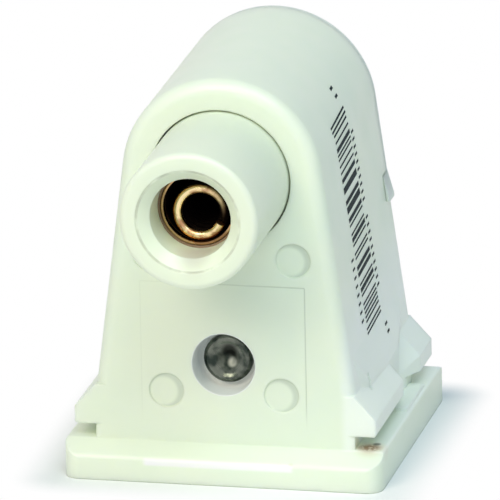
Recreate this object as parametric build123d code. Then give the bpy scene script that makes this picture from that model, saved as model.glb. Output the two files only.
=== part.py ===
from build123d import *
import math
import os

# Single-pin pedestal lamp holder. X is the width, +Y points to the back, +Z is up.
# Every size is in millimetres. Depths are measured from the flat front face of the housing,
# and the finished pieces are moved so that the origin is the bottom centre of the whole part.

# Housing
lamp_height = 46.0
head_radius = 14.9
foot_half_width = 19.4
shoulder_height = 13.7
body_depth = 39.0
front_wall = 3.0
side_wall = 2.2
floor_thickness = 2.6
front_edge_radius = 2.0

# Base flange, and the slots that take the edges of a sheet metal channel
flange_width = 47.6
flange_front = 3.0
flange_back = 43.9
flange_thickness = 5.6
flange_nose_height = 3.7
flange_tail_height = 4.1
flange_slope = 3.0
flange_corner_radius = 2.4
flange_edge_radius = 0.4
flange_nose_radius = 1.0
slot_height = 2.1
lug_half_width = 22.6
lug_side_height = 2.5
front_lug_length = 20.0
rear_lug_start = 32.0
rear_lug_end = 40.2
gusset_length = 7.0
gusset_start_height = 12.0
toe_half_width = 21.0
toe_end = 33.3
lug_edge_radius = 0.4
pad_start = 19.0
pad_end = 31.0
pad_rise = 0.5
pad_width = 3.9

# Swelling of the side walls above the lugs: its half width at five depths, then its two heights
wall_foot_plan = ((18.5, 2.0), (20.15, 7.6), (20.4, 20.0), (20.3, 27.0), (18.5, 39.0))
wall_foot_height = 12.8
wall_foot_top = 19.0

# Plunger and its hole
plunger_radius = 10.25
plunger_clearance = 0.25
plunger_reach = 21.25
plunger_travel = 14.0
nose_edge_radius = 0.9
nose_cone_radius = 7.5
nose_cone_depth = 1.75
nose_ring_width = 0.25
nose_ring_depth = 0.1
bore_radius = 6.0
bore_depth = 25.25
contact_recess = 7.0
stop_flange_radius = 12.3
stop_flange_thickness = 2.6
barrel_clearance = 0.4
barrel_wall = 1.8
barrel_end_gap = 2.4
barrel_slit_width = 6.0
hub_radius = 7.2
hub_length = 2.4

# Contact parts in the plunger
sleeve_fit = 0.05
sleeve_wall = 0.35
rim_seat_step = 0.3
sleeve_seat_step = 0.4
rim_thickness = 0.5
contact_wire = 1.4
contact_coil_radius = 3.4
contact_coil_pitch = 1.8
contact_coil_sag = 0.95
contact_coil_angle = 24
contact_rivet_radius = 1.3
contact_rivet_head_radius = 1.65
contact_rivet_head = 0.8
contact_rivet_tail_radius = 2.6
rivet_hole_clearance = 0.05

# Plunger spring and its seats
spring_wire = 1.1
spring_radius = 9.4
spring_turns = 8
spring_cup_thickness = 0.6
spring_cup_radius = 11.0
cup_hub_clearance = 0.05

# Rear cover
cover_thickness = 2.0
cover_clearance = 0.15
cap_thickness = 1.5
cap_bottom = 33.0
cap_edge_radius = 0.8
ear_reach = 0.55
ear_gap = 0.05
ear_length = 2.6
ear_drop = 0.6
ear_rise = 3.4

# Housing rivet, its recess and the column around it
rivet_height = 17.7
recess_radius = 4.7
recess_depth = 4.2
column_radius = 6.0
rivet_radius = 1.85
rivet_head_radius = 3.7
rivet_head_height = 1.4
recess_round = 0.9
rivet_rim_radius = 2.95
rivet_groove_radius = 2.3
rivet_groove_depth = 0.3
rivet_dimple_radius = 1.5
rivet_dimple_depth = 1.2
rivet_tail_radius = 3.1
rivet_tail_top_radius = 2.2
rivet_tail_height = 1.0
washer_radius = 4.4
washer_thickness = 0.7

# Terminal plate, clamps and block
plate_thickness = 0.8
plate_disc_radius = 11.2
plate_strip_width = 9.0
plate_foot_width = 22.0
block_height = 7.6
block_floor = 2.5
block_half_width = 13.0
block_front = 11.0
block_back = 27.0
wire_spacing = 14.0
wire_depth = 19.0
wire_entry_radius = 1.7
wire_guide_radius = 1.3
clamp_thickness = 0.4
clamp_width = 4.0
clamp_length = 7.0
pocket_clearance = 0.8
wire_funnel_radius = 2.6
wire_funnel_depth = 0.8
release_slot_width = 1.4
release_slot_length = 3.2
release_slot_gap = 1.2

# Marks that the mould leaves on the front face and the sides
pin_mark_radius = 2.6
pin_mark_depth = 0.25
lower_mark_height = 13.4
upper_mark_height = 34.1
lower_mark_x = 8.6
upper_mark_x = 10.7
notch_depth = 7.6
notch_width = 0.7
notch_height = 2.4
notch_reach = 0.2

# Heights and depths that follow from the sizes above
slot_top = flange_thickness + slot_height
lug_slope_foot = slot_top + lug_side_height
plate_back = body_depth - cover_thickness
plate_front = plate_back - plate_thickness
barrel_radius = stop_flange_radius + barrel_clearance
barrel_end = plate_front - barrel_end_gap
stop_back = front_wall + stop_flange_thickness
hub_back = stop_back + hub_length
bore_bottom = bore_depth - plunger_reach
contact_front = contact_recess - plunger_reach
sleeve_seat_radius = bore_radius - sleeve_seat_step
rim_seat_radius = bore_radius - rim_seat_step
rim_back = contact_front + rim_thickness
sleeve_radius = sleeve_seat_radius - sleeve_fit
block_top = floor_thickness + block_height
pocket_floor = floor_thickness + block_floor
foot_top = block_top + plate_thickness
origin_depth = (flange_back - plunger_reach) / 2

TO_BACK = (0, 1, 0)


def along_y(profile, start, end):
    """Stand a flat profile, drawn as X and Z, upright and extrude it from start to end."""
    upright = Plane((0, start, 0), x_dir=(1, 0, 0), z_dir=(0, -1, 0)) * profile
    return extrude(upright, amount=end - start, dir=TO_BACK)


def rod(radius, start, end, x=0, z=lamp_height):
    """A round bar along the depth."""
    return along_y(Pos(x, z) * Circle(radius), start, end)


def turned_outline(outline, z=lamp_height):
    """Turn a flat outline, drawn as radius and depth, round an axis that runs along the depth."""
    level = Plane((0, 0, z), x_dir=(1, 0, 0), z_dir=(0, 0, 1)) * outline
    return revolve(level, axis=Axis((0, 0, z), TO_BACK))


def turned(points):
    """Turn straight lines between radius and depth pairs round the plunger's axis."""
    return turned_outline(make_face(Polyline(*points, close=True)))


def block(x_range, y_range, z_range):
    """A box from its low and high limits."""
    low = Vector(x_range[0], y_range[0], z_range[0])
    high = Vector(x_range[1], y_range[1], z_range[1])
    size = high - low
    return Pos((low + high) * 0.5) * Box(size.X, size.Y, size.Z)


def wall_touch():
    """Point where a sloping side meets the round head, as X and Z."""
    drop = lamp_height - shoulder_height
    reach = math.hypot(foot_half_width, drop)
    lean = math.acos(head_radius / reach) - math.atan2(drop, foot_half_width)
    return head_radius * math.cos(lean), lamp_height + head_radius * math.sin(lean)


def wall_x(height):
    """Half width of the sloping sides at a height."""
    touch_x, touch_z = wall_touch()
    share = (height - shoulder_height) / (touch_z - shoulder_height)
    return foot_half_width + (touch_x - foot_half_width) * share


def body_outline():
    """Front outline: a round head that runs out into two sloping sides and an upright foot."""
    touch_x, touch_z = wall_touch()
    sides = Polyline(
        (touch_x, touch_z),
        (foot_half_width, shoulder_height),
        (foot_half_width, 0),
        (-foot_half_width, 0),
        (-foot_half_width, shoulder_height),
        (-touch_x, touch_z),
    )
    crown = ThreePointArc((-touch_x, touch_z), (0, lamp_height + head_radius), (touch_x, touch_z))
    return make_face(sides.edges() + crown.edges())


def cavity_outline(gap=0):
    """Inner outline of the shell, smaller all round by the gap."""
    inner = offset(body_outline(), amount=-(side_wall + gap))
    above_floor = Pos(0, floor_thickness + gap + lamp_height) * Rectangle(4 * foot_half_width, 2 * lamp_height)
    return inner & above_floor


def shell_blank():
    """Solid body with the soft front edge, before anything is cut from it."""
    blank = along_y(body_outline(), 0, body_depth)
    front_edges = blank.faces().sort_by(Axis.Y)[0].edges()
    soft_edges = [edge for edge in front_edges if edge.center().Z > shoulder_height]
    return fillet(soft_edges, front_edge_radius)


def base_flange():
    """Rectangular plate with round corners, which slopes down to a blunt nose and a thinner tail."""
    length = flange_front + flange_back
    middle = (flange_back - flange_front) / 2
    plate = extrude(RectangleRounded(flange_width, length, flange_corner_radius), flange_thickness)
    top_edges = plate.faces().sort_by(Axis.Z)[-1].edges()
    plate = Pos(0, middle, 0) * fillet(top_edges, flange_edge_radius)
    profile = make_face(Polyline(
        (-flange_front, 0),
        (flange_back, 0),
        (flange_back, flange_tail_height),
        (flange_back - flange_slope, flange_thickness),
        (flange_slope - flange_front, flange_thickness),
        (-flange_front, flange_nose_height),
        close=True,
    ))
    nose = profile.vertices().group_by(Axis.X)[0].sort_by(Axis.Y)[-1]
    profile = fillet(nose, flange_nose_radius)
    return plate & extrude(Plane.YZ * profile, flange_width, both=True)


def lug_profile(side, bottom):
    """Section of a lug: upright outside, with a top that slopes up to the foot of the body."""
    inner = foot_half_width - side_wall
    return make_face(Polyline(
        (side * inner, bottom),
        (side * lug_half_width, bottom),
        (side * lug_half_width, lug_slope_foot),
        (side * foot_half_width, shoulder_height),
        (side * inner, shoulder_height),
        close=True,
    ))


def front_lug(side):
    """Lug over the front slot, with its outer edges a little blunt."""
    lug = along_y(lug_profile(side, slot_top), 0, front_lug_length)
    outer = [edge for edge in lug.edges() if abs(edge.center().X) > lug_half_width - 0.1]
    return fillet(outer, lug_edge_radius)


def upright_face(points, depth):
    """Flat face from X and Z pairs, standing upright at a depth."""
    return Plane((0, depth, 0), x_dir=(1, 0, 0), z_dir=(0, -1, 0)) * make_face(Polyline(*points, close=True))


def rear_lug(side):
    """Lug over the rear slot, with the gusset in front of it and the toe that ends the slot."""
    inner = foot_half_width - side_wall
    roof = along_y(lug_profile(side, slot_top), rear_lug_start, rear_lug_end)
    toe = block(
        sorted((side * inner, side * toe_half_width)),
        (rear_lug_start, toe_end),
        (floor_thickness, slot_top),
    )
    gusset_points = (
        (side * inner, floor_thickness),
        (side * foot_half_width, floor_thickness),
        (side * foot_half_width, slot_top),
        (side * foot_half_width, gusset_start_height),
        (side * inner, gusset_start_height),
    )
    lug_points = (
        (side * inner, floor_thickness),
        (side * lug_half_width, floor_thickness),
        (side * lug_half_width, lug_slope_foot),
        (side * foot_half_width, shoulder_height),
        (side * inner, shoulder_height),
    )
    ends = [
        upright_face(gusset_points, rear_lug_start - gusset_length),
        upright_face(lug_points, rear_lug_start),
    ]
    under = block(
        sorted((side * toe_half_width, side * (lug_half_width + lug_side_height))),
        (rear_lug_start - gusset_length, rear_lug_start),
        (floor_thickness, slot_top),
    )
    return roof + toe + (loft(ends, ruled=True) - under)


def wall_foot(side):
    """Gentle swelling of the side wall above the lugs, fullest behind the side notch."""
    inner = foot_half_width - side_wall - cover_clearance
    fullest = max(x for x, depth in wall_foot_plan)
    profile = make_face(Polyline(
        (side * inner, slot_top),
        (side * fullest, slot_top),
        (side * fullest, wall_foot_height),
        (side * wall_x(wall_foot_top), wall_foot_top),
        (side * inner, wall_foot_top),
        close=True,
    ))
    outer = [(side * x, depth) for x, depth in wall_foot_plan]
    plan = make_face(Polyline(*outer, (side * inner, body_depth), (side * inner, front_edge_radius), close=True))
    return along_y(profile, front_edge_radius, body_depth) & extrude(plan, 2 * shoulder_height)


def slot_pad(side):
    """Low pad on the flange between the two slots."""
    x_range = sorted((side * (foot_half_width - side_wall), side * (foot_half_width + pad_width)))
    return block(x_range, (pad_start, pad_end), (floor_thickness, flange_thickness + pad_rise))


def guide_barrel():
    """Tube inside the shell that guides the plunger's stop flange, slit underneath."""
    tube = rod(barrel_radius + barrel_wall, front_wall, barrel_end) - rod(barrel_radius, front_wall, barrel_end)
    half_slit = barrel_slit_width / 2
    slit = block(
        (-half_slit, half_slit),
        (stop_back + plunger_travel / 2, barrel_end),
        (0, lamp_height),
    )
    inside = along_y(offset(body_outline(), amount=-side_wall / 2), front_wall, barrel_end)
    return (tube & inside) - slit


def mould_marks():
    """Round ejector marks on the front face."""
    spots = [(side * lower_mark_x, lower_mark_height) for side in (-1, 1)]
    spots += [(side * upper_mark_x, upper_mark_height) for side in (-1, 1)]
    return [rod(pin_mark_radius, 0, pin_mark_depth, x, z) for x, z in spots]


def rivet_recess():
    """Round recess for the rivet's head, with a rounded bottom corner."""
    recess = rod(recess_radius, 0, recess_depth, z=rivet_height)
    bottom = recess.edges().filter_by(GeomType.CIRCLE).sort_by(Axis.Y)[-1]
    return fillet(bottom, recess_round)


def side_notch(side):
    """Small notch at the foot of the side wall, where two parts of the mould met."""
    inner = foot_half_width + notch_reach
    return block(
        sorted((side * inner, side * lug_half_width)),
        (notch_depth, notch_depth + notch_width),
        (shoulder_height - notch_height / 2, shoulder_height + notch_height / 2),
    )


def wire_xs():
    """Places of the two wires across the width."""
    return (-wire_spacing / 2, wire_spacing / 2)


def wire_entry(x):
    """Hole through the floor for one wire, with a funnel at its mouth."""
    funnel = Cone(wire_funnel_radius, wire_entry_radius, wire_funnel_depth)
    hole = Cylinder(wire_entry_radius, floor_thickness)
    return Pos(x, wire_depth, wire_funnel_depth / 2) * funnel + Pos(x, wire_depth, floor_thickness / 2) * hole


def release_slot(x):
    """Slit behind a wire, through which a flat tool opens the clamp."""
    front = wire_depth + wire_entry_radius + release_slot_gap
    half = release_slot_length / 2
    return block((x - half, x + half), (front, front + release_slot_width), (0, pocket_floor))


def make_housing():
    """The white moulding: shell, flange, lugs, barrel and rivet column."""
    housing = shell_blank() + base_flange()
    for side in (-1, 1):
        housing += front_lug(side)
        housing += rear_lug(side)
        housing += wall_foot(side)
        housing += slot_pad(side)
    housing -= along_y(cavity_outline(), front_wall, body_depth)
    housing += guide_barrel()
    housing += rod(column_radius, front_wall, plate_front, z=rivet_height)
    housing -= rod(plunger_radius + plunger_clearance, 0, front_wall)
    housing -= rivet_recess()
    housing -= rod(rivet_radius + rivet_hole_clearance, 0, plate_front, z=rivet_height)
    for mark in mould_marks():
        housing -= mark
    for side in (-1, 1):
        housing -= side_notch(side)
    for x in wire_xs():
        housing -= wire_entry(x)
        housing -= release_slot(x)
    return housing


def cap_ear(side):
    """Small wedge at the cap's lower end that hooks over the side wall."""
    low = cap_bottom - ear_drop
    high = cap_bottom + ear_rise
    hook = upright_face((
        (side * (wall_x(low) + ear_gap), low),
        (side * (wall_x(low) + ear_reach), low),
        (side * (wall_x(cap_bottom) + ear_reach), cap_bottom),
        (side * (wall_x(high) + ear_gap), high),
    ), body_depth - ear_length)
    hook = extrude(hook, amount=ear_length, dir=TO_BACK)
    root = upright_face((
        (side * (wall_x(low) - side_wall), low),
        (side * (wall_x(low) + ear_reach), low),
        (side * (wall_x(cap_bottom) + ear_reach), cap_bottom),
        (side * (wall_x(high) + ear_gap), high),
        (side * (wall_x(high) - side_wall), high),
    ), body_depth)
    return hook + extrude(root, amount=cap_thickness - cap_edge_radius, dir=TO_BACK)


def make_rear_cover():
    """Plate inside the shell's back edge, with the cap that closes the round head."""
    plate = along_y(cavity_outline(cover_clearance), plate_back, body_depth)
    above = Pos(0, cap_bottom + head_radius * 2) * Rectangle(4 * head_radius, 4 * head_radius)
    cap = along_y(body_outline() & above, body_depth, body_depth + cap_thickness)
    back_edges = cap.faces().sort_by(Axis.Y)[-1].edges()
    cover = plate + fillet(back_edges, cap_edge_radius)
    for side in (-1, 1):
        cover += cap_ear(side)
    return cover - rod(rivet_radius + rivet_hole_clearance, plate_back, body_depth, z=rivet_height)


def make_plunger():
    """The moulded nose: a blind tube with a stop flange and a hub for the spring cup."""
    ring_outer = nose_cone_radius + nose_ring_width
    plunger = turned([
        (0, -plunger_reach),
        (plunger_radius, -plunger_reach),
        (plunger_radius, front_wall),
        (stop_flange_radius, front_wall),
        (stop_flange_radius, stop_back),
        (hub_radius, stop_back),
        (hub_radius, hub_back),
        (0, hub_back),
    ])
    rim = plunger.edges().filter_by(GeomType.CIRCLE).sort_by(Axis.Y)[0]
    plunger = fillet(rim, nose_edge_radius)
    plunger -= turned([
        (0, -plunger_reach),
        (ring_outer, -plunger_reach),
        (ring_outer, nose_ring_depth - plunger_reach),
        (nose_cone_radius, nose_ring_depth - plunger_reach),
        (bore_radius, nose_cone_depth - plunger_reach),
        (bore_radius, contact_front),
        (rim_seat_radius, contact_front),
        (rim_seat_radius, rim_back),
        (sleeve_seat_radius, rim_back),
        (sleeve_seat_radius, bore_bottom),
        (0, bore_bottom),
    ])
    return plunger - rod(contact_rivet_radius + rivet_hole_clearance, bore_bottom, hub_back)


def make_contact_sleeve():
    """Brass cup in the bottom of the plunger's bore, with a round rim that rests on a step."""
    floor = bore_bottom - sleeve_wall
    rim = rod(rim_seat_radius - sleeve_fit, contact_front, rim_back)
    rim_edge = rim.edges().filter_by(GeomType.CIRCLE).sort_by(Axis.Y)[0]
    cup = fillet(rim_edge, rim_thickness / 2) + rod(sleeve_radius, rim_back, bore_bottom)
    cup -= rod(sleeve_radius - sleeve_wall, contact_front, floor)
    return cup - rod(contact_rivet_radius + rivet_hole_clearance, floor, bore_bottom)


def coil(radius, wire, pitch, start, end, z, start_angle=0):
    """A round wire wound along the depth, from one seat to the other."""
    path = Helix(pitch=pitch, height=end - start - wire, radius=radius)
    section = Plane(path @ 0, z_dir=path % 0) * Circle(wire / 2)
    upright = sweep(section, path=path, is_frenet=True)
    return Pos(0, start + wire / 2, z) * Rot(-90, 0, 0) * Rot(0, 0, start_angle) * upright


def make_contact_spring():
    """Brass coil that lies in the cup, a little low, and touches the lamp pin."""
    return coil(
        contact_coil_radius, contact_wire, contact_coil_pitch,
        contact_front, bore_bottom - sleeve_wall,
        lamp_height - contact_coil_sag, contact_coil_angle,
    )


def make_contact_rivet():
    """Rivet through the cup's floor, the plunger's back wall and the spring cup."""
    front = bore_bottom - sleeve_wall
    back = hub_back + spring_cup_thickness
    return turned([
        (0, front - contact_rivet_head),
        (contact_rivet_head_radius, front - contact_rivet_head),
        (contact_rivet_head_radius, front),
        (contact_rivet_radius, front),
        (contact_rivet_radius, back),
        (contact_rivet_tail_radius, back),
        (contact_rivet_radius, back + contact_rivet_head),
        (0, back + contact_rivet_head),
    ])


def make_spring_cup():
    """Pressed cap over the hub, whose brim is the spring's front seat."""
    inner = hub_radius + cup_hub_clearance
    outer = inner + spring_cup_thickness
    hole = contact_rivet_radius + rivet_hole_clearance
    return turned([
        (hole, hub_back),
        (inner, hub_back),
        (inner, stop_back),
        (spring_cup_radius, stop_back),
        (spring_cup_radius, stop_back + spring_cup_thickness),
        (outer, stop_back + spring_cup_thickness),
        (outer, hub_back + spring_cup_thickness),
        (hole, hub_back + spring_cup_thickness),
    ])


def make_plunger_spring():
    """Compression spring between the spring cup and the terminal plate."""
    start = stop_back + spring_cup_thickness
    pitch = (plate_front - start - spring_wire) / spring_turns
    return coil(spring_radius, spring_wire, pitch, start, plate_front, lamp_height)


def make_terminal_plate():
    """Brass disc behind the spring, a strip down past the rivet and a foot on the block."""
    disc = Pos(0, lamp_height) * Circle(plate_disc_radius)
    strip_height = lamp_height - block_top
    strip = Pos(0, block_top + strip_height / 2) * Rectangle(plate_strip_width, strip_height)
    plate = along_y(disc + strip, plate_front, plate_back)
    plate -= rod(rivet_radius + rivet_hole_clearance, plate_front, plate_back, z=rivet_height)
    half_strip = plate_strip_width / 2
    half_foot = plate_foot_width / 2
    neck = block((-half_strip, half_strip), (block_back - plate_strip_width, plate_back), (block_top, foot_top))
    foot = block((-half_foot, half_foot), (block_front, block_back), (block_top, foot_top))
    plate += neck + foot
    for x in wire_xs():
        plate -= Pos(x, wire_depth, block_top + plate_thickness / 2) * Cylinder(wire_guide_radius, plate_thickness)
    return plate


def clamp_pocket(x):
    """Room in the block for one clamp, open at the top."""
    half = clamp_width / 2 + pocket_clearance
    front = wire_depth - wire_guide_radius - pocket_clearance
    back = front + clamp_length + 2 * pocket_clearance
    return block((x - half, x + half), (front, back), (pocket_floor, block_top))


def make_wire_clamp(x):
    """Bent leaf under the foot that digs into a pushed-in wire."""
    back = wire_depth + clamp_length - wire_guide_radius
    top = block_top - clamp_thickness / 2
    tip = (wire_depth + wire_guide_radius, top - clamp_length / 2)
    leaf = Polyline((back - clamp_length / 2, top), (back, top), tip)
    section = trace(leaf, line_width=clamp_thickness)
    upright = Plane((x - clamp_width / 2, 0, 0), x_dir=(0, 1, 0), z_dir=(1, 0, 0)) * section
    return extrude(upright, clamp_width) & block((x - clamp_width, x + clamp_width), (0, body_depth), (0, block_top))


def make_terminal_block():
    """Moulded block on the floor that guides each wire to its clamp."""
    body = block((-block_half_width, block_half_width), (block_front, block_back), (floor_thickness, block_top))
    for x in wire_xs():
        body -= clamp_pocket(x)
        body -= Pos(x, wire_depth, (floor_thickness + block_top) / 2) * Cylinder(wire_guide_radius, block_height)
        body -= release_slot(x)
    return body


def make_housing_rivet():
    """Semi-tubular rivet: rolled head with a dimple in the recess, low head at the back."""
    seat = recess_depth
    washer_back = body_depth + washer_thickness
    face = seat - rivet_head_height
    roll = Spline(
        (0, face + rivet_dimple_depth),
        (rivet_dimple_radius, face + rivet_groove_depth + rivet_groove_depth / 2),
        (rivet_groove_radius, face + rivet_groove_depth),
        (rivet_rim_radius, face),
        (rivet_head_radius, face + rivet_head_height / 2),
        tangents=[(1, 0), (0, 1)],
    )
    rest = Polyline(
        (rivet_head_radius, face + rivet_head_height / 2),
        (rivet_head_radius, seat),
        (rivet_radius, seat),
        (rivet_radius, washer_back),
        (rivet_tail_radius, washer_back),
        (rivet_tail_top_radius, washer_back + rivet_tail_height),
        (0, washer_back + rivet_tail_height),
        (0, face + rivet_dimple_depth),
    )
    return turned_outline(make_face(roll.edges() + rest.edges()), rivet_height)


def make_rivet_washer():
    """Flat washer between the cover and the rivet's back end."""
    ring = rod(washer_radius, body_depth, body_depth + washer_thickness, z=rivet_height)
    return ring - rod(rivet_radius + rivet_hole_clearance, body_depth, body_depth + washer_thickness, z=rivet_height)


left_x, right_x = wire_xs()
pieces = {
    "housing": make_housing(),
    "rear_cover": make_rear_cover(),
    "plunger": make_plunger(),
    "contact_sleeve": make_contact_sleeve(),
    "contact_spring": make_contact_spring(),
    "contact_rivet": make_contact_rivet(),
    "spring_cup": make_spring_cup(),
    "plunger_spring": make_plunger_spring(),
    "terminal_plate": make_terminal_plate(),
    "wire_clamp_left": make_wire_clamp(left_x),
    "wire_clamp_right": make_wire_clamp(right_x),
    "terminal_block": make_terminal_block(),
    "housing_rivet": make_housing_rivet(),
    "rivet_washer": make_rivet_washer(),
}

os.makedirs("parts", exist_ok=True)
for name, piece in pieces.items():
    placed = Pos(0, -origin_depth, 0) * piece
    export_step(placed, f"parts/{name}.step")
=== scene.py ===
import math

import bpy
from mathutils import Matrix, Vector


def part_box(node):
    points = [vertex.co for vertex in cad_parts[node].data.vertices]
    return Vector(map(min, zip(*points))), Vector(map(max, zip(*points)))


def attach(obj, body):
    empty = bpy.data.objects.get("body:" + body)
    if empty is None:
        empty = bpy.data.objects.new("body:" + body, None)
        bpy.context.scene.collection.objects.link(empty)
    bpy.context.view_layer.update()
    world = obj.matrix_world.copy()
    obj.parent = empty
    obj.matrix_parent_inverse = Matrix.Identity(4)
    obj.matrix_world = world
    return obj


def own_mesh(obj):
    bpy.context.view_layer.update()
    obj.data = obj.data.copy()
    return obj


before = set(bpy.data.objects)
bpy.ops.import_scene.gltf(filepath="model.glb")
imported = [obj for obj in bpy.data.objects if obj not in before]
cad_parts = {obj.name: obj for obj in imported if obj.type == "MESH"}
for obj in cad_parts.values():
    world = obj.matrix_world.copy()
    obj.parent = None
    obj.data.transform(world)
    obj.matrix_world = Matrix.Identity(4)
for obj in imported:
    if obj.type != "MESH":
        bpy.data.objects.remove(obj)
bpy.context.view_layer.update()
MM = 0.001


# Housing. One white moulding with a semi-gloss skin. The mould left the outline of an insert and
# four round pin marks on its face, and shade is painted into one side of each mark. Light is painted
# into the front recess and on the right side above the flange. A highlight is painted as a bar on the
# flange's nose; handling left a small smudge there, and brown dirt lies in the right slot.

def set_inputs(tree, node, inputs):
    """Gives a node its inputs, as plain values or as links."""
    for key, value in inputs.items():
        if isinstance(value, bpy.types.NodeSocket):
            tree.links.new(value, node.inputs[key])
        else:
            node.inputs[key].default_value = value


def add_node(tree, kind, inputs=None, **settings):
    """A new node with its settings and its inputs."""
    node = tree.nodes.new(kind)
    for name, value in settings.items():
        setattr(node, name, value)
    set_inputs(tree, node, inputs or {})
    return node


def calc(tree, operation, first, second=0.0, third=0.0):
    """The result of one Math node."""
    values = {0: first, 1: second, 2: third}
    return add_node(tree, "ShaderNodeMath", values, operation=operation).outputs[0]


def product(tree, first, *others):
    """Two or more values multiplied with each other."""
    for other in others:
        first = calc(tree, "MULTIPLY", first, other)
    return first


def vector_node(tree, operation, *values):
    """One Vector Math node with its values in order."""
    return add_node(tree, "ShaderNodeVectorMath", dict(enumerate(values)), operation=operation)


def coordinates(tree, where):
    """The x, y and z of a place."""
    return add_node(tree, "ShaderNodeSeparateXYZ", {0: where}).outputs


def squeeze_depth(tree, where, scale):
    """A place with its depth scaled, so that what is drawn from it stretches along the depth."""
    return add_node(tree, "ShaderNodeMapping", {"Vector": where, "Scale": (1, scale, 1)}).outputs[0]


def fine_noise(tree, where, scale, detail):
    """Noise between 0 and 1, at a scale in waves per metre."""
    settings = {"Vector": where, "Scale": scale, "Detail": detail, "Roughness": 0.5}
    return add_node(tree, "ShaderNodeTexNoise", settings).outputs["Fac"]


def remap(tree, value, low, high, to_low=0.0, to_high=1.0):
    """A value moved from one range to another, with smooth ends."""
    settings = {"Value": value, "From Min": low, "From Max": high, "To Min": to_low, "To Max": to_high}
    return add_node(tree, "ShaderNodeMapRange", settings, interpolation_type="SMOOTHSTEP").outputs[0]


def clouds(tree, where, scale, low, high, to_low=0.0, to_high=1.0, detail=3.0):
    """Noise moved from one range to another."""
    return remap(tree, fine_noise(tree, where, scale, detail), low, high, to_low, to_high)


def blend_colours(tree, amount, first, second):
    """First colour where amount is 0, second where it is 1."""
    return add_node(tree, "ShaderNodeMix", {0: amount, 6: first, 7: second}, data_type="RGBA").outputs[2]


def paint(tree, colour, region, amount, second):
    """A colour with a second one laid over a region, at an amount."""
    return blend_colours(tree, product(tree, region, amount), colour, second)


def spot(tree, where, centre, reach, edge):
    """1 within a reach of a point and 0 beyond its soft edge."""
    away = vector_node(tree, "DISTANCE", where, centre).outputs["Value"]
    return remap(tree, away, reach + edge, reach)


def within(tree, value, low, high, edge):
    """1 where a value lies between two limits, with soft ends."""
    return product(tree, remap(tree, value, low - edge, low), remap(tree, value, high + edge, high))


def new_material(name):
    """A plain material: its tree, its shader and its place on the piece."""
    material = bpy.data.materials.new(name)
    material.use_nodes = True
    tree = material.node_tree
    tree.nodes.clear()
    shader = add_node(tree, "ShaderNodeBsdfPrincipled")
    add_node(tree, "ShaderNodeOutputMaterial", {"Surface": shader.outputs[0]})
    where = add_node(tree, "ShaderNodeTexCoord").outputs["Object"]
    return material, tree, shader, where


def mould_flow(tree, where, scale, first, second):
    """Two near shades in the soft clouds that the plastic's flow leaves."""
    return blend_colours(tree, clouds(tree, where, scale, 0.35, 0.7), first, second)


def let_light_in(tree, shader, weight):
    """Lets light spread below a pale plastic's skin."""
    set_inputs(tree, shader, {
        "Subsurface Weight": weight,
        "Subsurface Radius": plastic_glow_colour,
        "Subsurface Scale": plastic_glow_depth,
    })


def give_relief(tree, shader, height, edge_radius):
    """Fine relief from a height in millimetres, on edges that look rounded."""
    soft_edges = add_node(tree, "ShaderNodeBevel", {"Radius": edge_radius}, samples=8).outputs[0]
    relief = add_node(tree, "ShaderNodeBump", {"Height": height, "Distance": MM, "Normal": soft_edges})
    set_inputs(tree, shader, {"Normal": relief.outputs[0]})


def give(material, *names):
    """Puts one finish on whole CAD nodes."""
    for name in names:
        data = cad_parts[name].data
        data.materials.clear()
        data.materials.append(material)


nose_length = 21.25 * MM
face_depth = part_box("plunger")[0].y + nose_length
lamp_height = 46.0 * MM
flange_top = 5.6 * MM

plastic_glow = 0.45
plastic_glow_colour = (1.0, 1.0, 0.8)
plastic_glow_depth = 3.0 * MM
moulding_white = (0.86, 0.925, 0.75, 1)
moulding_shade = (0.825, 0.91, 0.745, 1)
housing_flow = 55
housing_edge = 0.35 * MM
housing_skin = 0.004
flange_edge = 0.3 * MM

recess_painted_light = (0.97, 0.985, 0.95, 1)
recess_axis = (0, 0, 17.7 * MM)
recess_radius = 4.75 * MM
recess_edge = 0.1 * MM
lug_painted_light = (0.91, 0.985, 0.86, 1)
lug_inner = 17.0 * MM
lug_edge = 1.5 * MM

insert_half_width = 12.3 * MM
insert_top = 30.0 * MM
insert_bottom = 7.5 * MM
insert_fade = 6.0 * MM
insert_line = 0.16 * MM
insert_darkness = 0.26
insert_darkness_left = 0.2
insert_groove = 0.03
insert_depth = 0.1 * MM

lower_mark = (8.6 * MM, 13.4 * MM)
upper_mark = (10.7 * MM, 34.1 * MM)
mark_depth = 0.5 * MM
mark_reach = 2.45 * MM
mark_edge = 0.15 * MM
mark_lit_reach = 1.85 * MM
mark_lit_edge = 0.7 * MM
mark_lit_shift = Vector((-0.55, 0, -0.2)) * MM
mark_shade = (0.42, 0.47, 0.42, 1)
mark_darkness = 0.4

nose_highlight_white = (0.98, 0.97, 0.95, 1)
highlight_left = -11.2 * MM
highlight_right = 10.2 * MM
highlight_low = 2.9 * MM
highlight_high = 3.4 * MM
highlight_end_edge = 0.8 * MM
highlight_side_edge = 0.5 * MM
highlight_depth = -0.3 * MM

dust_orange = (0.60, 0.40, 0.26, 1)
dirt_brown = (0.22, 0.12, 0.05, 1)
dirt_dark = (0.03, 0.025, 0.02, 1)
stain_place = (21.4 * MM, face_depth + 1.5 * MM, 5.6 * MM)
stain_reach = 0.6 * MM
stain_edge = 1.5 * MM
stain_amount = 0.8
stain_roughness = 0.4
dust_reach = 0.75 * MM
dust_edge = 2.6 * MM
dust_amount = 0.55
crumb_place = (22.0 * MM, face_depth + 3.3 * MM, 5.6 * MM)
crumb_reach = 0.3 * MM
crumb_edge = 0.5 * MM
crumb_amount = 0.75
smudge_place = (10.4 * MM, face_depth - 3.0 * MM, 4.0 * MM)
smudge_reach = 0.2 * MM
smudge_edge = 0.4 * MM
smudge_amount = 0.3


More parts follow.
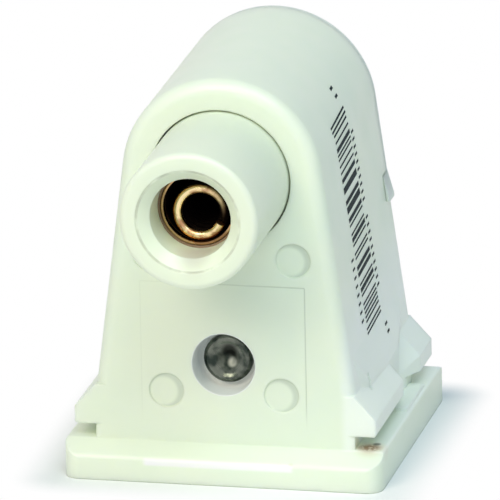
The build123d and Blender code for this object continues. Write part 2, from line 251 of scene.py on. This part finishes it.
def insert_outline(tree, where):
    """1 along the thin outline of the mould insert on the face, fainter to the left and below."""
    x, y, z = coordinates(tree, where)
    across = calc(tree, "ABSOLUTE", x)
    beside = calc(tree, "ABSOLUTE", calc(tree, "SUBTRACT", across, insert_half_width))
    above = calc(tree, "ABSOLUTE", calc(tree, "SUBTRACT", z, insert_top))
    below_top = calc(tree, "LESS_THAN", z, insert_top)
    between_sides = calc(tree, "LESS_THAN", across, insert_half_width)
    upright = product(tree, remap(tree, beside, insert_line, 0), below_top)
    level = product(tree, remap(tree, above, insert_line, 0), between_sides)
    line = calc(tree, "MAXIMUM", upright, level)
    on_face = calc(tree, "LESS_THAN", y, face_depth + insert_depth)
    fade_down = remap(tree, z, insert_bottom, insert_bottom + insert_fade)
    fade_left = remap(tree, x, -insert_half_width, insert_half_width, insert_darkness_left, 1.0)
    return product(tree, line, on_face, fade_down, fade_left)


def nose_highlight(tree, where):
    """1 on the bar across the flange's nose where a highlight is painted."""
    x, y, z = coordinates(tree, where)
    along = within(tree, x, highlight_left, highlight_right, highlight_end_edge)
    bar = product(tree, along, within(tree, z, highlight_low, highlight_high, highlight_side_edge))
    return product(tree, bar, calc(tree, "LESS_THAN", y, face_depth + highlight_depth))


def mark_crescents(tree, flat):
    """1 on one side of each dished mark that the mould's pins left on the front face, where shade is
    painted.
    """
    shade = 0.0
    for side in (-1, 1):
        for across, height in (lower_mark, upper_mark):
            centre = Vector((side * across, 0, height))
            disc = spot(tree, flat, centre, mark_reach, mark_edge)
            lit = spot(tree, flat, centre + mark_lit_shift, mark_lit_reach, mark_lit_edge)
            shade = calc(tree, "MAXIMUM", shade, product(tree, disc, calc(tree, "SUBTRACT", 1, lit)))
    return shade


def make_housing_white():
    """Semi-gloss white moulding with faint flow shades, the mould's marks with painted shade, painted
    light in the recess and on the lugs, a painted highlight, dirt and soft edges.
    """
    material, tree, shader, where = new_material("housing_moulding")
    across, depth, rise = coordinates(tree, where)
    flat = squeeze_depth(tree, where, 0)
    colour = mould_flow(tree, where, housing_flow, moulding_white, moulding_shade)
    # Light is painted into the front recess round the rivet: a near-white laid where the recess lies in
    # shade.
    in_recess = spot(tree, flat, recess_axis, recess_radius, recess_edge)
    colour = blend_colours(tree, in_recess, colour, recess_painted_light)
    # Light is painted on the right side above the flange: its lugs and what stands there take a lighter
    # white than their shade gives.
    above_flange = remap(tree, rise, flange_top - flange_edge, flange_top)
    on_lug = product(tree, remap(tree, across, lug_inner, lug_inner + lug_edge), above_flange)
    colour = blend_colours(tree, on_lug, colour, lug_painted_light)
    # Shade is painted into one side of each pin mark.
    on_face = calc(tree, "LESS_THAN", depth, face_depth + mark_depth)
    crescents = product(tree, mark_crescents(tree, flat), on_face)
    colour = paint(tree, colour, crescents, mark_darkness, mark_shade)
    # A highlight is painted as a near-white bar along the flange's nose.
    colour = blend_colours(tree, nose_highlight(tree, where), colour, nose_highlight_white)
    dust = spot(tree, where, stain_place, dust_reach, dust_edge)
    colour = paint(tree, colour, dust, dust_amount, dust_orange)
    ragged = clouds(tree, where, 1500, 0.36, 0.52, detail=4.0)
    stain = product(tree, spot(tree, where, stain_place, stain_reach, stain_edge), ragged)
    colour = paint(tree, colour, stain, stain_amount, dirt_brown)
    crumb = spot(tree, where, crumb_place, crumb_reach, crumb_edge)
    colour = paint(tree, colour, crumb, crumb_amount, dirt_dark)
    smudge = spot(tree, where, smudge_place, smudge_reach, smudge_edge)
    colour = paint(tree, colour, smudge, smudge_amount, dust_orange)
    line = insert_outline(tree, where)
    colour = paint(tree, colour, line, insert_darkness, dirt_dark)
    sheen = clouds(tree, where, 220, 0.3, 0.7, 0.30, 0.40)
    roughness = calc(tree, "ADD", sheen, product(tree, stain, stain_roughness))
    set_inputs(tree, shader, {"Base Color": colour, "Roughness": roughness, "IOR": 1.5})
    let_light_in(tree, shader, remap(tree, in_recess, 0, 1, plastic_glow, 0.0))
    skin = product(tree, fine_noise(tree, where, 900, 2.0), housing_skin)
    height = calc(tree, "SUBTRACT", skin, product(tree, line, insert_groove))
    give_relief(tree, shader, height, housing_edge)
    return material


give(make_housing_white(), "housing")


# Print on the right side. Thin dark ink laid on the wall: a column of bars of random widths, and
# short plain marks beside it. A node tree draws each group flat beside the part, drops it on the
# wall and lifts it by the ink's thickness.

ink_dark = (0.010, 0.020, 0.022, 1)
ink_worn = (0.05, 0.075, 0.075, 1)
ink_lift = 0.012 * MM
print_start = 30.0 * MM
drop_length = 50.0 * MM
joined_within = 0.002 * MM
print_lean = math.radians(3.7)
bar_column_top = (16.45 * MM, 51.1 * MM)
bar_count = 95
bar_pitch = 0.338 * MM
bar_length = 9.1 * MM
bar_steps = 10
bar_share = 0.5
bar_seed = 51
guard_modules = 3
guard_extra = 0.09
dot_pitch = 1.17 * MM
front_dot_pitch = 1.35 * MM
dot_length = 1.5 * MM
dot_width = 0.4 * MM
dot_columns = [
    ("print_marks_upper", (22.6 * MM, 47.3 * MM), 10, dot_pitch),
    ("print_marks_lower", (23.5 * MM, 34.0 * MM), 10, dot_pitch),
    ("print_mark_top", (20.4 * MM, 54.4 * MM), 2, dot_pitch),
    ("print_mark_bottom", (24.4 * MM, 17.4 * MM), 2, dot_pitch),
    ("print_marks_front", (11.3 * MM, 31.0 * MM), 8, front_dot_pitch),
]


def make_ink():
    """Matt ink, a little worn where the wall was handled."""
    material, tree, shader, where = new_material("print_ink")
    colour = blend_colours(tree, clouds(tree, where, 1800, 0.55, 0.75), ink_dark, ink_worn)
    set_inputs(tree, shader, {"Base Color": colour, "Roughness": 0.7, "Specular IOR Level": 0.15})
    return material


def add_column_inputs(tree):
    """Names the values that one column of print is drawn from, and its result."""
    kinds = {
        "Wall": "Object", "Count": "Int", "Pitch": "Float", "Length": "Float", "Width": "Float",
        "Top": "Vector", "Ink share": "Float", "Guards": "Int", "Seed": "Int", "Ink": "Material",
    }
    for name, kind in kinds.items():
        tree.interface.new_socket(name, in_out="INPUT", socket_type="NodeSocket" + kind)
    tree.interface.new_socket("Mesh", in_out="OUTPUT", socket_type="NodeSocketGeometry")


def inked_modules(tree, given, from_end, in_guard):
    """1 for each module that is inked: every second one in the guards, random ones between."""
    drawn = add_node(tree, "FunctionNodeRandomValue", {
        "Probability": given["Ink share"], "Seed": given["Seed"],
    }, data_type="BOOLEAN")
    even = calc(tree, "COMPARE", calc(tree, "MODULO", from_end, 2), 0, 0.1)
    guarded = calc(tree, "GREATER_THAN", given["Guards"], 0.5)
    beside_guard = product(tree, calc(tree, "COMPARE", from_end, given["Guards"], 0.1), guarded)
    random_ink = product(tree, drawn.outputs[3], calc(tree, "SUBTRACT", 1, beside_guard))
    inked = add_node(tree, "GeometryNodeSwitch", {
        "Switch": in_guard, "False": random_ink, "True": even,
    }, input_type="FLOAT")
    return calc(tree, "GREATER_THAN", inked.outputs[0], 0.5)


def make_print_tree():
    """Node tree: a column of modules, some of them inked, dropped on the wall as a thin layer."""
    tree = bpy.data.node_groups.new("print_column", "GeometryNodeTree")
    add_column_inputs(tree)
    given = add_node(tree, "NodeGroupInput").outputs
    down = add_node(tree, "ShaderNodeCombineXYZ", {"Z": product(tree, given["Pitch"], -1)}).outputs[0]
    line = add_node(tree, "GeometryNodeMeshLine", {"Count": given["Count"], "Offset": down}, mode="OFFSET")
    index = add_node(tree, "GeometryNodeInputIndex").outputs[0]
    last = calc(tree, "SUBTRACT", calc(tree, "SUBTRACT", given["Count"], 1), index)
    from_end = calc(tree, "MINIMUM", index, last)
    in_guard = calc(tree, "LESS_THAN", from_end, given["Guards"])
    bar = add_node(tree, "GeometryNodeMeshGrid", {
        "Size X": given["Length"], "Size Y": given["Width"], "Vertices X": bar_steps, "Vertices Y": 2,
    })
    upright = add_node(tree, "GeometryNodeTransform", {
        "Geometry": bar.outputs["Mesh"], "Rotation": (math.radians(90), 0, math.radians(90)),
    })
    longer = calc(tree, "MULTIPLY_ADD", in_guard, guard_extra, 1.0)
    placed = add_node(tree, "GeometryNodeInstanceOnPoints", {
        "Points": line.outputs["Mesh"],
        "Selection": inked_modules(tree, given, from_end, in_guard),
        "Instance": upright.outputs[0],
        "Scale": add_node(tree, "ShaderNodeCombineXYZ", {"X": 1.0, "Y": longer, "Z": 1.0}).outputs[0],
    })
    solid = add_node(tree, "GeometryNodeRealizeInstances", {0: placed.outputs[0]})
    leaned = add_node(tree, "GeometryNodeTransform", {
        "Geometry": solid.outputs[0], "Translation": given["Top"], "Rotation": (print_lean, 0, 0),
    })
    joined = add_node(tree, "GeometryNodeMergeByDistance", {
        "Geometry": leaned.outputs[0], "Distance": joined_within,
    })
    wall = add_node(tree, "GeometryNodeObjectInfo", {"Object": given["Wall"]}, transform_space="RELATIVE")
    drop = add_node(tree, "GeometryNodeRaycast", {
        "Target Geometry": wall.outputs["Geometry"],
        "Source Position": add_node(tree, "GeometryNodeInputPosition").outputs[0],
        "Ray Direction": (-1, 0, 0),
        "Ray Length": drop_length,
    })
    outward, landed = drop.outputs["Hit Normal"], drop.outputs["Hit Position"]
    lifted = vector_node(tree, "MULTIPLY_ADD", outward, (ink_lift, ink_lift, ink_lift), landed)
    laid = add_node(tree, "GeometryNodeSetPosition", {
        "Geometry": joined.outputs[0], "Position": lifted.outputs[0],
    })
    coloured = add_node(tree, "GeometryNodeSetMaterial", {
        "Geometry": laid.outputs[0], "Material": given["Ink"],
    })
    add_node(tree, "NodeGroupOutput", {0: coloured.outputs[0]})
    return tree


def grow(name, tree, values, body):
    """A plain mesh piece grown by a node tree from named values, riding on a body."""
    start = bpy.data.objects.new(name + "_start", bpy.data.meshes.new(name + "_start"))
    bpy.context.scene.collection.objects.link(start)
    grower = start.modifiers.new("grow", "NODES")
    grower.node_group = tree
    for socket in tree.interface.items_tree:
        if socket.in_out == "INPUT":
            grower[socket.identifier] = values[socket.name]
    graph = bpy.context.evaluated_depsgraph_get()
    grown = bpy.data.meshes.new_from_object(start.evaluated_get(graph))
    bpy.data.objects.remove(start)
    grown.name = name
    piece = bpy.data.objects.new(name, grown)
    bpy.context.scene.collection.objects.link(piece)
    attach(piece, body)


def print_column(name, top, count, pitch, length, width, share=1.0, guards=0, seed=0):
    """One column of print. Its top module lies at a depth behind the face and at a height."""
    depth, height = top
    grow(name, print_tree, {
        "Wall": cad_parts["housing"], "Count": count, "Pitch": pitch, "Length": length,
        "Width": width, "Top": (print_start, face_depth + depth, height),
        "Ink share": share, "Guards": guards, "Seed": seed, "Ink": ink,
    }, "holder")


ink = make_ink()
print_tree = make_print_tree()
print_column(
    "print_bars", bar_column_top, bar_count, bar_pitch, bar_length, bar_pitch,
    share=bar_share, guards=guard_modules, seed=bar_seed,
)
for name, top, count, pitch in dot_columns:
    print_column(name, top, count, pitch, dot_length, dot_width)


# Rear cover and terminal block. Plain inner mouldings in a white that is a little duller, because
# they came from another mould. The cover is set into the housing's back.

cover_white = (0.83, 0.89, 0.77, 1)
cover_shade = (0.79, 0.86, 0.75, 1)
cover_flow = 70
cover_skin = 0.012
inner_edge = 0.25 * MM


def make_cover_white():
    """Satin white moulding with a fine spark-eroded skin."""
    material, tree, shader, where = new_material("cover_moulding")
    colour = mould_flow(tree, where, cover_flow, cover_white, cover_shade)
    roughness = clouds(tree, where, 300, 0.3, 0.7, 0.42, 0.54)
    set_inputs(tree, shader, {"Base Color": colour, "Roughness": roughness})
    let_light_in(tree, shader, plastic_glow)
    give_relief(tree, shader, product(tree, fine_noise(tree, where, 4000, 2.0), cover_skin), inner_edge)
    return material


give(make_cover_white(), "rear_cover", "terminal_block")


# Plunger. The round nose that takes the lamp pin, moulded in the same white with a smoother skin.
# Sliding in the housing's front hole rubbed it along its length. Grime lies round its rim and low
# in its cone, its rim has two small nicks, and its bore is browned round the contact cup.

plunger_white = (0.85, 0.905, 0.725, 1)
plunger_shade = (0.82, 0.89, 0.72, 1)
plunger_flow = 60
plunger_rub = 0.0002
rub_stretch = 0.06
rim_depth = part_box("contact_sleeve")[0].y
seat_brown = (0.26, 0.16, 0.08, 1)
seat_radius = 6.0 * MM
seat_edge = 0.05 * MM
seat_lead = 0.15 * MM
ring_grime = (0.30, 0.29, 0.20, 1)
ring_grime_radius = 7.5 * MM
ring_grime_width = 0.22 * MM
ring_grime_edge = 0.12 * MM
ring_grime_back = 5.0 * MM
ring_grime_amount = 0.42
cone_grime = (0.35, 0.25, 0.25, 1)
cone_grime_place = (0.5 * MM, rim_depth - 3.5 * MM, lamp_height - 7.0 * MM)
cone_grime_reach = 1.5 * MM
cone_grime_edge = 3.0 * MM
cone_grime_amount = 0.38
nick_depth = face_depth - 20.9 * MM
nick_places = [
    ((-3.4 * MM, nick_depth, 38.6 * MM), 0.22 * MM),
    ((-5.0 * MM, nick_depth, 52.6 * MM), 0.18 * MM),
]
nick_darkness = 0.35


def make_plunger_white():
    """Smooth white moulding, rubbed along its length, with nicks, grime and a browned seat."""
    material, tree, shader, where = new_material("plunger_moulding")
    depth = coordinates(tree, where)[1]
    flat = squeeze_depth(tree, where, 0)
    axis = (0, 0, lamp_height)
    colour = mould_flow(tree, where, plunger_flow, plunger_white, plunger_shade)
    for place, reach in nick_places:
        nick = spot(tree, where, place, reach * 0.5, reach)
        colour = paint(tree, colour, nick, nick_darkness, dirt_dark)
    inside = spot(tree, flat, axis, seat_radius, seat_edge)
    seat = product(tree, inside, remap(tree, depth, rim_depth - seat_lead, rim_depth))
    colour = blend_colours(tree, seat, colour, seat_brown)
    from_axis = vector_node(tree, "DISTANCE", flat, axis).outputs["Value"]
    outer_line = ring_grime_radius + ring_grime_width
    ring = within(tree, from_axis, ring_grime_radius, outer_line, ring_grime_edge)
    at_front = calc(tree, "LESS_THAN", depth, rim_depth - ring_grime_back)
    broken = clouds(tree, where, 260, 0.38, 0.62, 0.0, ring_grime_amount)
    colour = blend_colours(tree, product(tree, ring, at_front, broken), colour, ring_grime)
    handled = spot(tree, where, cone_grime_place, cone_grime_reach, cone_grime_edge)
    colour = paint(tree, colour, handled, cone_grime_amount, cone_grime)
    rub = fine_noise(tree, squeeze_depth(tree, where, rub_stretch), 1400, 2.0)
    roughness = remap(tree, rub, 0.3, 0.7, 0.29, 0.33)
    set_inputs(tree, shader, {"Base Color": colour, "Roughness": roughness})
    let_light_in(tree, shader, plastic_glow)
    give_relief(tree, shader, product(tree, rub, plunger_rub), inner_edge)
    return material


give(make_plunger_white(), "plunger")


# Contact parts. Drawn brass: the cup and the coil in the nose, their rivet, the spring cup, the
# terminal plate and the two wire clamps. Air has browned the brass in patches, and shade is painted
# deep in the contact cup and its coil.

brass_bright = (0.70, 0.46, 0.18, 1)
brass_brown = (0.38, 0.19, 0.09, 1)
coil_bright = (0.95, 0.76, 0.42, 1)
coil_brown = (0.50, 0.27, 0.14, 1)
cup_bright = (0.58, 0.38, 0.19, 1)
cup_brown = (0.34, 0.19, 0.09, 1)
drawn_marks = 0.01
deep_shade = (0.012, 0.008, 0.006, 1)
deep_shade_edge = 0.5 * MM
deep_shade_roughness = 0.6
brass_roughness = 0.16
brown_roughness = 0.16
cup_clean_depth = 1.0 * MM
coil_clean_depth = 1.3 * MM
no_deep_shade_depth = 1000 * MM


def make_brass(name, bright, brown, clean_depth):
    """Brass with brown, duller patches, and shade painted beyond a clean depth behind the contact cup's
    rim.
    """
    material, tree, shader, where = new_material(name)
    patches = clouds(tree, where, 420, 0.46, 0.62, detail=4.0)
    depth = calc(tree, "SUBTRACT", coordinates(tree, where)[1], rim_depth)
    # Shade is painted deep in the cup: a dark colour and a duller surface beyond a clean depth behind the
    # rim.
    deep = remap(tree, depth, clean_depth, clean_depth + deep_shade_edge)
    colour = blend_colours(tree, deep, blend_colours(tree, patches, bright, brown), deep_shade)
    tarnish = calc(tree, "MULTIPLY_ADD", patches, brown_roughness, brass_roughness)
    roughness = calc(tree, "MULTIPLY_ADD", deep, deep_shade_roughness, tarnish)
    drawn = product(tree, fine_noise(tree, where, 2600, 2.0), drawn_marks)
    relief = add_node(tree, "ShaderNodeBump", {"Height": drawn, "Distance": MM})
    set_inputs(tree, shader, {
        "Base Color": colour, "Metallic": 1.0, "Roughness": roughness, "Normal": relief.outputs[0],
    })
    return material


inner_brass = make_brass("inner_brass", brass_bright, brass_brown, no_deep_shade_depth)
give(make_brass("cup_brass", cup_bright, cup_brown, cup_clean_depth), "contact_sleeve", "contact_rivet")
give(make_brass("coil_brass", coil_bright, coil_brown, coil_clean_depth), "contact_spring")
give(inner_brass, "spring_cup", "terminal_plate", "wire_clamp_left", "wire_clamp_right")


# Steel parts. The semi-tubular rivet and its washer are dark from plating that is worn in patches.
# The rivet's head has a dull dimple with a painted glint in it, and painted shade above it. The plunger's
# spring
# is plain drawn wire.

plating_dark = (0.034, 0.046, 0.038, 1)
plating_worn = (0.16, 0.175, 0.145, 1)
wire_grey = (0.42, 0.42, 0.43, 1)
wire_dark = (0.22, 0.22, 0.22, 1)
steel_edge = 0.15 * MM
steel_pits = 0.003
worn_polish = -0.12
dimple_place = Vector((0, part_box("housing_rivet")[0].y + 0.6 * MM, recess_axis[2]))
dimple_reach = 1.6 * MM
dimple_edge = 0.5 * MM
dimple_dullness = 0.38
dimple_glint_colour = (0.55, 0.57, 0.50, 1)
dimple_glint_place = dimple_place + Vector((0.5, 0, -0.55)) * MM
dimple_glint_reach = 0.45 * MM
dimple_glint_edge = 0.55 * MM
dimple_glint_amount = 0.85
rivet_painted_shade = (0.014, 0.015, 0.013, 1)
rivet_shade_place = dimple_place + Vector((0.2, 0, 1.2)) * MM
rivet_shade_reach = 0.6 * MM
rivet_shade_edge = 1.1 * MM
rivet_shade_amount = 0.85


def make_steel(name, dull, bright, patches, low, high, rough, dents):
    """Steel that is worn bright in patches, with shallow dents, and a painted glint and painted shade on
    the rivet's head.
    """
    material, tree, shader, where = new_material(name)
    worn = clouds(tree, where, patches, low, high)
    colour = blend_colours(tree, worn, dull, bright)
    # Shade is painted on the rivet's head above its dimple.
    rivet_shade_mask = spot(tree, where, rivet_shade_place, rivet_shade_reach, rivet_shade_edge)
    colour = paint(tree, colour, rivet_shade_mask, rivet_shade_amount, rivet_painted_shade)
    # A glint is painted in the rivet's dimple as a bright spot.
    glint = spot(tree, where, dimple_glint_place, dimple_glint_reach, dimple_glint_edge)
    colour = paint(tree, colour, glint, dimple_glint_amount, dimple_glint_colour)
    in_dimple = spot(tree, where, dimple_place, dimple_reach, dimple_edge)
    polish = calc(tree, "MULTIPLY_ADD", worn, worn_polish, rough)
    roughness = calc(tree, "MULTIPLY_ADD", in_dimple, dimple_dullness, polish)
    set_inputs(tree, shader, {"Base Color": colour, "Metallic": 1.0, "Roughness": roughness})
    pits = product(tree, fine_noise(tree, where, 1500, 2.0), steel_pits)
    height = calc(tree, "MULTIPLY_ADD", fine_noise(tree, where, 380, 1.0), dents, pits)
    give_relief(tree, shader, height, steel_edge)
    return material


plated_steel = make_steel(
    "plated_rivet_steel", plating_dark, plating_worn,
    patches=420, low=0.38, high=0.62, rough=0.27, dents=0.06,
)
wire_steel = make_steel(
    "spring_wire_steel", wire_dark, wire_grey,
    patches=700, low=0.3, high=0.6, rough=0.4, dents=0.0,
)
give(plated_steel, "housing_rivet", "rivet_washer")
give(wire_steel, "plunger_spring")
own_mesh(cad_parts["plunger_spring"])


# Camera. It looks at the holder from the front, a little from the right and from above, from far
# away, so that the sides hardly converge.

view_turn = math.radians(12.82)
view_rise = math.radians(17.33)
view_roll = math.radians(-1.10)
view_distance = 1.747
sensor_width = 36.0
picture_width = 500
pixels_per_metre = 6804.0
aim = Vector((0, face_depth + 15.0 * MM, 25.0 * MM))
aim_pixel = (244.8, 286.7)

forward = Vector((
    -math.sin(view_turn) * math.cos(view_rise),
    math.cos(view_turn) * math.cos(view_rise),
    -math.sin(view_rise),
))
level_right = Vector((math.cos(view_turn), math.sin(view_turn), 0))
level_up = level_right.cross(forward)
right = level_right * math.cos(view_roll) + level_up * math.sin(view_roll)
up = level_up * math.cos(view_roll) - level_right * math.sin(view_roll)
off_right = (aim_pixel[0] - picture_width / 2) / pixels_per_metre
off_up = (picture_width / 2 - aim_pixel[1]) / pixels_per_metre

camera_data = bpy.data.cameras.new("camera")
camera_data.sensor_width = sensor_width
camera_data.lens = sensor_width * pixels_per_metre * view_distance / picture_width
camera = bpy.data.objects.new("camera", camera_data)
bpy.context.scene.collection.objects.link(camera)
turn = Matrix((right, up, -forward)).transposed().to_4x4()
place = aim - forward * view_distance - right * off_right - up * off_up
camera.matrix_world = Matrix.Translation(place) @ turn
bpy.context.scene.camera = camera


# Floor and light. A white floor that keeps a soft shadow close round the base, one large warm lamp
# from the upper left in front, a smaller cool one from above on the right, and a cool, even sky.

floor_corners = [(-1.5, -1.5, 0), (1.5, -1.5, 0), (1.5, 1.5, 0), (-1.5, 1.5, 0)]
floor_drop = 0.02 * MM
floor_white = (0.92, 0.92, 0.92, 1)
plain_white = (1, 1, 1, 1)
fade_start = 0.5 * MM
fade_end = 8.0 * MM
sky_blue = (0.70, 0.88, 1.0, 1)
sky_strength = 0.275
lamp_target = Vector((0, 0, 30 * MM))


def shown_white(tree):
    """1 for the rays that see the white background, 0 for those that only carry light."""
    rays = add_node(tree, "ShaderNodeLightPath").outputs
    mirrored = calc(tree, "MAXIMUM", rays["Is Glossy Ray"], rays["Is Transmission Ray"])
    return calc(tree, "MAXIMUM", rays["Is Camera Ray"], mirrored)


def paper_floor():
    """Floor paper that takes the shadow close to the housing's base and is plain white beyond it."""
    material, tree, shader, where = new_material("floor_paper")
    set_inputs(tree, shader, {"Base Color": floor_white, "Roughness": 0.9, "Specular IOR Level": 0.0})
    bright = add_node(tree, "ShaderNodeEmission", {"Color": plain_white, "Strength": 1.0}).outputs[0]
    base_low, base_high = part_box("housing")
    nearest = vector_node(tree, "MAXIMUM", where, base_low).outputs[0]
    nearest = vector_node(tree, "MINIMUM", nearest, (base_high.x, base_high.y, 0)).outputs[0]
    away = vector_node(tree, "DISTANCE", where, nearest).outputs["Value"]
    fade = product(tree, remap(tree, away, fade_start, fade_end), shown_white(tree))
    mixed = add_node(tree, "ShaderNodeMixShader", {0: fade, 1: shader.outputs[0], 2: bright})
    set_inputs(tree, tree.nodes["Material Output"], {"Surface": mixed.outputs[0]})
    return material


def soft_lamp(name, width, power, colour, place):
    """A square area lamp that faces the holder."""
    data = bpy.data.lights.new(name, "AREA")
    data.shape = "SQUARE"
    data.size = width
    data.energy = power
    data.color = colour
    lamp = bpy.data.objects.new(name, data)
    bpy.context.scene.collection.objects.link(lamp)
    lamp.location = place
    lamp.rotation_euler = (lamp_target - Vector(place)).to_track_quat("-Z", "Y").to_euler()


floor_data = bpy.data.meshes.new("floor")
floor_data.from_pydata(floor_corners, [], [(0, 1, 2, 3)])
floor_data.materials.append(paper_floor())
floor = bpy.data.objects.new("floor", floor_data)
bpy.context.scene.collection.objects.link(floor)
floor.location.z = -floor_drop

soft_lamp("front_lamp", width=0.80, power=12.2, colour=(1, 0.90, 0.745), place=(-0.42, -1.15, 1.02))
soft_lamp("top_lamp", width=0.5, power=3.7, colour=(0.79, 0.93, 1), place=(0.24, -0.40, 0.75))

world = bpy.data.worlds.new("studio")
world.use_nodes = True
bpy.context.scene.world = world
tree = world.node_tree
tree.nodes.clear()
sky = add_node(tree, "ShaderNodeBackground", {"Color": sky_blue, "Strength": sky_strength}).outputs[0]
white = add_node(tree, "ShaderNodeBackground", {"Color": plain_white, "Strength": 1.0}).outputs[0]
backdrop = add_node(tree, "ShaderNodeMixShader", {0: shown_white(tree), 1: sky, 2: white})
add_node(tree, "ShaderNodeOutputWorld", {"Surface": backdrop.outputs[0]})
bpy.context.scene.view_settings.view_transform = "Standard"
